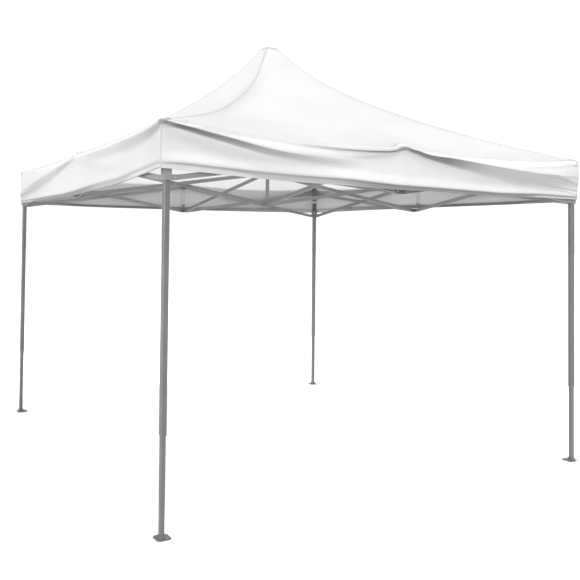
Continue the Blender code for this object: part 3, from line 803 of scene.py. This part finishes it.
# Part of the cloth as one continuous sheet round the tent, with its thickness and its hooks
def clothPiece(name, firstRow, lastRow, finish, pickFinish=None, insideFrom=0):
    rows = np.arange(firstRow, lastRow + 1)
    points = cloth[rows].reshape(-1, 3)
    folded = bundle[rows].reshape(-1, 3)
    columns = coverShape["columns"]
    slant = runAlong(cloth[:, columns // 2])
    run = np.linalg.norm(cloth[:, :columns, :2] - cloth[:, :1, :2], axis=-1)
    run = np.concatenate([run, 2 * run[:, -1:] - run[:, -2:-1]], axis=1)
    faces, uvs = gridQuads(len(rows), columnCount, downFirst, lambda i, j, di, dj: (
        run[rows[i] + di, j % columns + dj], -slant[rows[i] + di]), closed="columns")
    if firstRow == 0:
        top = len(points)
        peak = points[:columnCount].mean(axis=0)
        points = np.vstack([points, peak])
        folded = np.vstack([folded, peak - (0, 0, poleTravel)])
        for j in range(columnCount):
            faces.append((top, j, (j + 1) % columnCount))
            uvs += [(0, 0), (0, -0.004), (0.001, -0.004)]
    obj = makePiece(name, points, faces, finish, uvs)
    if pickFinish is not None:
        picks = [pickFinish(rows[0] + index // columnCount) for index in range(len(faces))]
        obj.data.polygons.foreach_set("material_index", picks)
    # the painted shade of the folds, hips and hem goes on each point as an attribute for the material
    shadeAmount = obj.data.attributes.new("foldDust", "FLOAT", "POINT")
    shadeAmount.data.foreach_set("value", np.resize(clothPaintedShade[rows].ravel(), len(points)).astype(np.float32))
    gather(obj, folded - points)
    thicken(obj, coverShape["thick"]).material_offset = insideFrom
    return fasten(obj, coverBody)


roofSheet = clothPiece("coverRoof", 0, eaveRow, looks["roof"])
valanceSheet = clothPiece("coverValance", eaveRow, rowCount - 1,
                          [looks[label] for label in ("valance", "double", "inside", "inside")],
                          lambda row: int(row >= rowCount - 1 - coverShape["hemRows"]), insideFrom=2)
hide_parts(*["roof_" + side for side in sideNames])
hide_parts(*["valance_" + side for side in sideNames])
print("cover sheets in place")


# Trims sewn to the cover. Rows and columns are places on the cloth's grid, fractions too.

def rowOf(r, shape=coverShape):
    inner = shape["innerRadius"]
    share = np.maximum(np.asarray(r, float) - inner, 0) / (shape["eaveHalf"] - inner)
    return shape["roofRows"] * share ** (1 / shape["rowPower"])


def columnOf(k, a, shape=coverShape):
    own = np.sign(a) * (1 - (1 - np.minimum(np.abs(a), 1)) ** (1 / shape["columnPower"]))
    return (k + (own + 1) / 2) * shape["columns"]


# Rows at a distance above the hem, for columns of side k at places a from -1 to 1
def hemRowOf(k, a, above, shape=coverShape):
    at = (-a if k in (1, 3) else a) * shape["eaveHalf"]
    return rowCount - 1 - above / hemBandAt(at) * shape["hemRows"]


def clothStrip(name, place, size, finish, closed=""):
    rows, columns = np.broadcast_arrays(*place)
    lift, thick = size
    places, folded = (onCloth(rows, columns, np.full(rows.shape, lift), way) for way in (False, True))
    count, wide = rows.shape
    down, over = runAlong(places[:, wide // 2]), runAlong(places[count // 2])
    down = np.append(down, 2 * down[-1] - down[-2])
    faces, uvs = gridQuads(count, wide, acrossFirst, lambda i, j, di, dj: (over[j + dj], down[i + di]), closed)
    one, other = places[1, 0] - places[0, 0], places[0, 1] - places[0, 0]
    out = onCloth(rows[:1, :1], columns[:1, :1], np.array([[lift + 0.01]]))[0, 0] - places[0, 0]
    if np.dot(np.cross(other, one), out) < 0:
        faces = [face[::-1] for face in faces]
        uvs = [uvs[4 * i + 3 - j] for i in range(len(faces)) for j in range(4)]
    strip = makePiece(name, places.reshape(-1, 3), faces, finish, uvs)
    gather(strip, (folded - places).reshape(-1, 3))
    thicken(strip, thick)
    fasten(strip, coverBody)


# Points along a line on the cloth at an even pitch, as rows and columns
def evenly(rows, columns, pitch):
    run = runAlong(onCloth(rows, columns, np.zeros(len(rows))))
    at = np.arange(pitch / 2, run[-1], pitch)
    return np.interp(at, run, rows), np.interp(at, run, columns)


def clothFrames(rows, columns, lift, folded):
    place = onCloth(rows, columns, np.full(len(rows), lift), folded)
    along = unit(np.gradient(place, axis=0))
    out = unit(onCloth(rows, columns, np.full(len(rows), lift + 0.01), folded) - place)
    side = unit(np.cross(out, along))
    return place, np.stack([along, side, np.cross(along, side)], axis=1)


# A tree that sets one small form on every point of a mesh, turned by the point's own two directions
def scatterTree(name, sizes, form, finish):
    tree = bpy.data.node_groups.new(name, "GeometryNodeTree")
    tree.interface.new_socket("Points", in_out="INPUT", socket_type="NodeSocketGeometry")
    for label, size in sizes.items():
        tree.interface.new_socket(label, in_out="INPUT", socket_type="NodeSocketFloat").default_value = size
    tree.interface.new_socket("Pieces", in_out="OUTPUT", socket_type="NodeSocketGeometry")
    start, end = tree.nodes.new("NodeGroupInput"), tree.nodes.new("NodeGroupOutput")
    along, out = (node(tree, "GeometryNodeInputNamedAttribute", {"Name": label},
                       data_type="FLOAT_VECTOR").outputs["Attribute"] for label in ("along", "out"))
    turn = node(tree, "FunctionNodeAxesToRotation", {"Primary Axis": out, "Secondary Axis": along},
                primary_axis="Z", secondary_axis="X").outputs["Rotation"]
    placed = node(tree, "GeometryNodeInstanceOnPoints", {
        "Points": start.outputs["Points"], "Instance": form(tree, start.outputs), "Rotation": turn})
    real = node(tree, "GeometryNodeRealizeInstances", {"Geometry": placed.outputs["Instances"]})
    smooth = node(tree, "GeometryNodeSetShadeSmooth", {"Geometry": real.outputs["Geometry"]})
    done = node(tree, "GeometryNodeSetMaterial", {"Geometry": smooth.outputs["Geometry"], "Material": finish})
    feed(tree, end, {"Pieces": done.outputs["Geometry"]})
    return tree


def scatter(name, tree, sizes, places, along, out):
    points = makePiece(name, places, [], [], smooth=False)
    for label, ways in (("along", along), ("out", out)):
        layer = points.data.attributes.new(label, "FLOAT_VECTOR", "POINT")
        layer.data.foreach_set("vector", np.ascontiguousarray(ways, np.float32).ravel())
    points.data.attributes.new("anchor", "INT", "POINT").data.foreach_set("value", np.arange(len(places)))
    maker = points.modifiers.new("scatter", "NODES")
    maker.node_group = tree
    for socket in tree.interface.items_tree:
        if socket.in_out == "INPUT" and socket.name in sizes:
            maker[socket.identifier] = sizes[socket.name]
    seen = points.evaluated_get(bpy.context.evaluated_depsgraph_get())
    made = bpy.data.meshes.new_from_object(seen)
    points.modifiers.clear()
    points.data = made
    return points


def scaled(tree, mesh, sizes):
    scale = node(tree, "ShaderNodeCombineXYZ", dict(enumerate(sizes))).outputs["Vector"]
    return node(tree, "GeometryNodeTransform", {"Geometry": mesh, "Scale": scale}).outputs["Geometry"]


def ellipsoid(tree, sizes):
    ball = node(tree, "GeometryNodeMeshIcoSphere", {"Radius": 0.5, "Subdivisions": 1}).outputs["Mesh"]
    return scaled(tree, ball, [sizes[label] for label in ("Length", "Width", "Depth")])


stitchLook = {"Length": 0.0062, "Width": 0.0013, "Depth": 0.0010}
stitchTree = scatterTree("stitches", stitchLook, ellipsoid, looks["thread"])


# Stitches along lines on the cloth, given as (rows, columns, lift)
def sewLines(name, lines, pitch):
    rest, folded = [], []
    for rows, columns, lift in lines:
        rows, columns = evenly(rows, columns, pitch)
        rest.append(clothFrames(rows, columns, lift, False))
        folded.append(clothFrames(rows, columns, lift, True))
    (place, turns), (laterPlace, laterTurns) = ([np.concatenate(part) for part in zip(*frames)]
                                                for frames in (rest, folded))
    sewn = scatter(name, stitchTree, stitchLook, place, turns[:, 0], turns[:, 2])
    points = np.empty(len(sewn.data.vertices) * 3)
    sewn.data.vertices.foreach_get("co", points)
    points = points.reshape(-1, 3)
    anchor = np.empty(len(points), int)
    sewn.data.attributes["anchor"].data.foreach_get("value", anchor)
    inside = np.einsum("nij,nj->ni", turns[anchor], points - place[anchor])
    later = laterPlace[anchor] + np.einsum("nij,ni->nj", laterTurns[anchor], inside)
    gather(sewn, later - points)
    fasten(sewn, coverBody)


seams = {
    "hipTape": 0.018,          # width of the tape over each hip
    "hipFrom": 0.036,
    "peakPatch": 0.046,        # radius of the round patch on the peak
    "cornerPatch": 0.11,
    "padPatch": (0.06, 0.05),
    "tab": (0.042, 0.024),     # grey loop at the top of each corner
    "tabStart": 0.016,         # its beginning on the corner's other side
    "cornerSeam": 0.009,
    # how far the outer face of a trim lies off the cloth, and its thickness
    "tape": (0.0018, 0.0016),
    "patch": (0.0011, 0.001),
    "peak": (0.0034, 0.003),
    "seam": (0.0012, 0.0011),
    "loop": (0.0028, 0.0016),
    "pitch": 0.008,            # of the stitches
    "hemStitches": (0.006, 0.017),       # heights above the hem
    "eaveStitches": (0.012, 0.019),      # distances from the roof's edge
}


# Rows and columns of places r from the middle and d across from the hip k
def besideHip(k, d, r, shape=coverShape):
    step = np.sign(d) * (np.abs(d) / r) ** (1 / shape["columnPower"]) * shape["columns"] / 2
    return rowOf(r), k * shape["columns"] + step


def trimCover(setup=seams):
    half, lines = coverShape["eaveHalf"], []
    hipRun = np.linspace(setup["hipFrom"], half - 0.003, 90)[:, None]
    narrow = np.linspace(-0.5, 0.5, 5)
    cornerRun, rim = np.linspace(0.0, 1.0, 16)[:, None], np.linspace(-1, 1, 41)
    patch, seamIn = setup["cornerPatch"], setup["cornerPatch"] - 0.014
    inward = half - 0.006 - cornerRun * patch
    fan = np.linspace(-1, 1, 25) * (patch * np.sqrt(np.maximum(1 - cornerRun ** 2, 0.01)))
    rimIn = half - 0.012 - seamIn * np.sqrt(np.maximum(1 - rim ** 2, 0))
    wide, deep = setup["padPatch"]
    padRows = rowOf(np.linspace(half - deep, half - 0.003, 10)[:, None])
    padAcross = np.linspace(-wide, wide, 13) / half
    for k, corner in enumerate(cornerNames):
        clothStrip("hipTape_" + corner, besideHip(k, narrow * setup["hipTape"], hipRun), setup["tape"],
                   looks["seamTape"])
        for edge in (-0.4, 0.4):
            lines.append((*besideHip(k, edge * setup["hipTape"], hipRun[:, 0]), setup["tape"][0]))
        clothStrip("cornerPatch_" + corner, besideHip(k, fan, inward), setup["patch"], looks["patch"])
        lines.append((*besideHip(k, rim * seamIn, rimIn), setup["patch"][0]))
        clothStrip("padPatch_" + sideNames[k], (padRows, columnOf(k, padAcross)), setup["patch"], looks["patch"])
    ring = np.arange(columnCount)[:, None] + np.zeros(8)
    clothStrip("peakPatch", (rowOf(np.linspace(0.006, setup["peakPatch"], 8)), ring), setup["peak"],
               looks["double"], "rows")
    lines.append((np.full(257, float(rowOf(setup["peakPatch"] - 0.006))), np.linspace(0, columnCount, 257),
                  setup["peak"][0]))
    down = np.linspace(eaveRow + 1, rowCount - 1.01, 90)[:, None]
    wide, deep = setup["tab"]
    tabAcross = np.linspace(-setup["tabStart"], wide - 0.014, 12)
    for k, corner in enumerate(cornerNames):
        seamColumns = besideHip(k, narrow * setup["cornerSeam"], half)[1]
        clothStrip("cornerSeam_" + corner, (down, seamColumns), setup["seam"], looks["patch"])
        column = int(round(float(columnOf(k, -1 + wide / half / 2)))) % columnCount
        drop = cloth[eaveRow, column, 2] - cloth[eaveRow:, column, 2]
        tabRows = np.linspace(eaveRow - 1.2, eaveRow + float(np.argmax(drop > deep)), 12)[:, None]
        clothStrip("cornerTab_" + corner, (tabRows, besideHip(k, tabAcross, half)[1]), setup["loop"], looks["tab"])
    a = np.linspace(-0.995, 0.995, 200)
    for k in range(4):
        lines += [(hemRowOf(k, a, above), columnOf(k, a), 0.0) for above in setup["hemStitches"]]
        lines += [(np.full(200, float(rowOf(half - inside))), columnOf(k, a), 0.0) for inside in setup["eaveStitches"]]
    sewLines("coverStitches", lines, setup["pitch"])


trimCover()
print("seams, patches and stitches sewn")


# Hardware: rivet heads on the forks, snap buttons, holes and welds, one mesh for each body

hardware = {
    "cheek": 0.0096,           # from a bar's middle to the outside of its fork
    "openHead": 0.0044,        # twice the height of a rivet head
    "closeHead": 0.0020,       # the same where the other bar passes
    "headWidth": 0.013,
    "buttonHeight": 0.4975,
    "wall": 0.0025,            # from the outer tube's face to the inner tube's
    "holeFrom": 0.06,
    "holePitch": 0.06,
    "plateShift": 0.008,
    "stakeHole": 0.026,
    "legStrap": (1.835, 1.86),
    "strapLength": 0.2,
    "strapHalf": 0.012,
    "webbing": 0.0014,
    "buckle": (0.026, 0.008, 0.024),
}


def rivetForm(tree, sizes):
    ball = node(tree, "GeometryNodeMeshUVSphere", {"Segments": 16, "Rings": 8, "Radius": 0.5}).outputs["Mesh"]
    dome = scaled(tree, ball, [sizes[label] for label in ("Width", "Width", "Height")])
    across, deep = (node(tree, "ShaderNodeMath", {0: sizes[label], 1: share}, operation="MULTIPLY").outputs["Value"]
                    for label, share in (("Width", 0.64), ("Height", 0.3)))
    washer = node(tree, "GeometryNodeMeshCylinder", {"Vertices": 20, "Radius": across, "Depth": deep})
    both = node(tree, "GeometryNodeJoinGeometry")
    for mesh in (washer.outputs["Mesh"], dome):
        tree.links.new(mesh, both.inputs["Geometry"])
    return both.outputs["Geometry"]


def discForm(tree, sizes):
    return node(tree, "GeometryNodeMeshCylinder", {"Vertices": 20, "Radius": sizes["Radius"],
                                                   "Depth": sizes["Depth"]}).outputs["Mesh"]


rivetTree = scatterTree("rivets", {"Width": 0.013, "Height": 0.0044}, rivetForm, looks["zinc"])
discTree = scatterTree("discs", {"Radius": 0.004, "Depth": 0.0004}, discForm, looks["darkPlastic"])


def fit(name, tree, sizes, places, ways, body):
    places, ways = np.asarray(places, float), np.asarray(ways, float)
    along = np.cross(ways, np.where(np.abs(ways[:, 2:]) > 0.5, (1.0, 0.0, 0.0), (0.0, 0.0, 1.0)))
    fasten(scatter(name, tree, sizes, places, along, ways), body)


def addRivets(setup=hardware):
    heads = {}
    up, low = topPivotHeight, lowPivotHeight
    reach = legHalf - midReach
    corner = legHalf + jointPlace["leg_front_left"][0]
    for k, side in enumerate(sideNames):
        forks = [("cover_and_hub", (0, -hubReach, up), 0, 1), ("hub_bottom", (0, -hubReach, low), 0, -1),
                 ("mid_bracket_bottom_" + side, (0, -reach, low), 0, 1),
                 ("mid_bracket_top_" + side, (0, -reach, up), 0, -1)]
        for hand, name in ((-1, cornerNames[k]), (1, cornerNames[(k + 1) % 4])):
            forks += [("mid_bracket_bottom_" + side, (hand * midReach, -legHalf, low), 1, 1),
                      ("mid_bracket_top_" + side, (hand * midReach, -legHalf, up), 1, -1),
                      ("leg_" + name, (hand * (legHalf - corner), -legHalf, up), 1, 1),
                      ("slider_" + name, (hand * (legHalf - corner), -legHalf, low), 1, -1)]
        for body, place, axis, laneSide in forks:
            for face in (-1, 1):
                at, way = np.array(place, float), np.zeros(3)
                way[axis] = face
                at[axis] += laneSide * lane + face * setup["cheek"]
                heads.setdefault((body, face == laneSide), []).append((quarter(at, k), quarter(way, k)))
    for (body, outer), found in heads.items():
        fit("rivets_%s_%s" % (body, "outer" if outer else "inner"), rivetTree,
            {"Width": setup["headWidth"], "Height": setup["openHead" if outer else "closeHead"]}, *zip(*found), body)


# The button, holes and weld of a leg, told for the front left one and turned to each corner
def addLegDetails(setup=hardware):
    innerHalf = tubeHalf - setup["wall"]
    heights = np.arange(setup["holeFrom"], tubeBottom - 0.02, setup["holePitch"])
    middle, reach = setup["plateShift"] - legHalf, setup["stakeHole"]
    inward, up = (1.0, 0, 0), (0, 0, 1.0)
    kinds = (
        ("snapButton_", rivetTree, {"Width": 0.009, "Height": 0.0048},
         [(-legHalf + tubeHalf + 0.0005, -legHalf, setup["buttonHeight"])], inward, "leg_"),
        ("adjustHoles_", discTree, {"Radius": 0.004, "Depth": 0.0005},
         [(-legHalf + innerHalf, -legHalf, z) for z in heights], inward, "foot_"),
        ("stakeHoles_", discTree, {"Radius": 0.005, "Depth": 0.0008},
         [(middle + w * reach, middle - w * reach, 0.004) for w in (-1, 1)], up, "foot_"),
    )
    edge = [(x, -innerHalf - 0.0010, 0.0045) for x in np.linspace(-1, 1, 9)[:-1] * innerHalf]
    welds = np.concatenate([quarter(edge, turn) for turn in range(4)]) + (-legHalf, -legHalf, 0)
    along = np.concatenate([quarter([inward] * len(edge), turn) for turn in range(4)])
    for k, corner in enumerate(cornerNames):
        for label, tree, sizes, places, way, body in kinds:
            fit(label + corner, tree, sizes, quarter(places, k), quarter([way] * len(places), k), body + corner)
        fasten(scatter("weld_" + corner, weldTree, weldLook, quarter(welds, k), quarter(along, k),
                       np.tile(up, (len(welds), 1))), "foot_" + corner)


weldLook = {"Length": 0.0052, "Width": 0.005, "Depth": 0.0044}
weldTree = scatterTree("welds", weldLook, ellipsoid, looks["steel"])


# A closed band of webbing round a leg, from the points of a loop in plan
def legStrap(k, loop, setup=hardware):
    levels = np.linspace(*setup["legStrap"], 4)
    points = [(x, y, z) for z in levels for x, y in loop]
    faces, uvs = gridQuads(len(levels), len(loop), acrossFirst, lambda i, j, di, dj: (
        j * 0.01 + dj * 0.01, levels[i + di]), closed="columns")
    band = makePiece("legStrap_" + cornerNames[k], quarter(points, k), faces, looks["webbing"], uvs)
    thicken(band, setup["webbing"], 1)
    fasten(band, "leg_" + cornerNames[k])


# A flat strap with slightly wavy run, and its moulded buckle
def hangStrap(k, setup=hardware):
    side, half = sideNames[k], setup["strapHalf"]
    y = -legHalf - 0.0200
    top = topPivotHeight + 0.018
    runs = np.linspace(0, 1, 24)
    points = [(x, y - 0.0015 * math.sin(t * 7) * t, top - t * setup["strapLength"]) for t in runs
              for x in (-half, half)]
    faces, uvs = gridQuads(len(runs), 2, downFirst, lambda i, j, di, dj: points[2 * (i + di) + dj][::2])
    strap = makePiece("strap_" + side, quarter(points, k), faces, looks["webbing"], uvs)
    thicken(strap, setup["webbing"])
    fasten(strap, "mid_bracket_top_" + side)
    shell = bmesh.new()
    bmesh.ops.create_cube(shell, size=1.0)
    middle = quarter([(0, y, top - setup["strapLength"] + 0.012)], k)[0]
    wide = quarter([setup["buckle"]], k)[0]
    for vert in shell.verts:
        vert.co = Vector(middle) + Vector([c * abs(w) for c, w in zip(vert.co, wide)])
    bmesh.ops.bevel(shell, geom=shell.edges[:], offset=0.0022, segments=3, affect="EDGES", profile=0.6)
    buckle = makePiece("buckle_" + side, np.zeros((0, 3)), [], looks["bracket"])
    shell.to_mesh(buckle.data)
    shell.free()
    buckle.data.polygons.foreach_set("use_smooth", [True] * len(buckle.data.polygons))
    fasten(buckle, "mid_bracket_top_" + side)


def addStraps():
    turns = np.linspace(0, math.tau, 33)[:-1]
    half, rounding = tubeHalf + 0.0004, 0.004
    loop = [(np.sign(math.cos(t)) * (half - rounding) + rounding * math.cos(t) - legHalf,
             np.sign(math.sin(t)) * (half - rounding) + rounding * math.sin(t) - legHalf) for t in turns + 0.05]
    for k in range(4):
        legStrap(k, loop)
        hangStrap(k)


addRivets()
addLegDetails()
addStraps()
print("rivets, buttons, welds and straps fitted")


# Studio: a pale floor, a bright sky dome that is dimmer below, and two soft lamps

studio = {
    "floor": (0.97, 0.97, 0.97),
    "floorReach": 300.0,
    "sky": 1.1,
    "below": 0.56,
    "lamps": {                 # turn in degrees, power, softness in degrees
        "key": ((24.0, 0.0, 50.0), 1.58, 12.0),
        "fill": ((82.0, 0.0, -58.0), 2.36, 30.0),
    },
}


def skyDome(setup):
    world = bpy.data.worlds.new("studio")
    world.use_nodes = True
    tree = world.node_tree
    way = node(tree, "ShaderNodeTexCoord").outputs["Generated"]
    height = node(tree, "ShaderNodeSeparateXYZ", {0: way}).outputs["Z"]
    light = spread(tree, height, setup["below"], setup["sky"], -0.12, 0.0)
    feed(tree, tree.nodes["Background"], {"Strength": light, "Color": (1, 1, 1, 1)})
    return world


def buildStudio(setup=studio):
    reach = setup["floorReach"]
    paper, tree, shader = startMaterial("palePaper")
    feed(tree, shader, {"Base Color": (*setup["floor"], 1), "Roughness": 0.9})
    corners = [(x * reach, y * reach, -0.002) for x, y in ((-1, -1), (1, -1), (1, 1), (-1, 1))]
    floor = makePiece("floor", corners, [(0, 1, 2, 3)], paper, smooth=False)
    floor.visible_diffuse = False        # light from below comes from the dome alone
    floor.visible_transmission = False
    bpy.context.scene.world = skyDome(setup)
    for name, (turn, power, softness) in setup["lamps"].items():
        lamp = bpy.data.lights.new(name, "SUN")
        lamp.energy = power
        lamp.angle = math.radians(softness)
        holder = bpy.data.objects.new(name, lamp)
        holder.rotation_euler = [math.radians(v) for v in turn]
        bpy.context.collection.objects.link(holder)
    bpy.context.scene.view_settings.view_transform = "Standard"


buildStudio()

cameraSetup = {
    "place": (-2.86, -4.652, 1.379),
    "azimuth": 27.87,          # degrees from +Y towards +X
    "elevation": 1.54,
    "roll": 0.7,
    "focal": 726.3,            # in pixels of a picture 580 wide
    "centre": (219.9, 227.5),
    "picture": 580.0,
}


def placeCamera(setup=cameraSetup):
    turn, lift, roll = (math.radians(setup[key]) for key in ("azimuth", "elevation", "roll"))
    forward = Vector((math.sin(turn) * math.cos(lift), math.cos(turn) * math.cos(lift), math.sin(lift)))
    right = forward.cross(Vector((0, 0, 1))).normalized()
    up = right.cross(forward)
    right, up = (math.cos(roll) * right + math.sin(roll) * up, math.cos(roll) * up - math.sin(roll) * right)
    data = bpy.data.cameras.new("camera")
    data.sensor_width = 36.0
    data.lens = setup["focal"] / setup["picture"] * data.sensor_width
    data.shift_x = 0.5 - setup["centre"][0] / setup["picture"]
    data.shift_y = setup["centre"][1] / setup["picture"] - 0.5
    data.clip_end = 1000
    camera = bpy.data.objects.new("camera", data)
    camera.matrix_world = Matrix.Translation(setup["place"]) @ Matrix(
        (right, up, -forward)).transposed().to_4x4()
    bpy.context.collection.objects.link(camera)
    bpy.context.scene.camera = camera


placeCamera()
print("studio and camera ready")
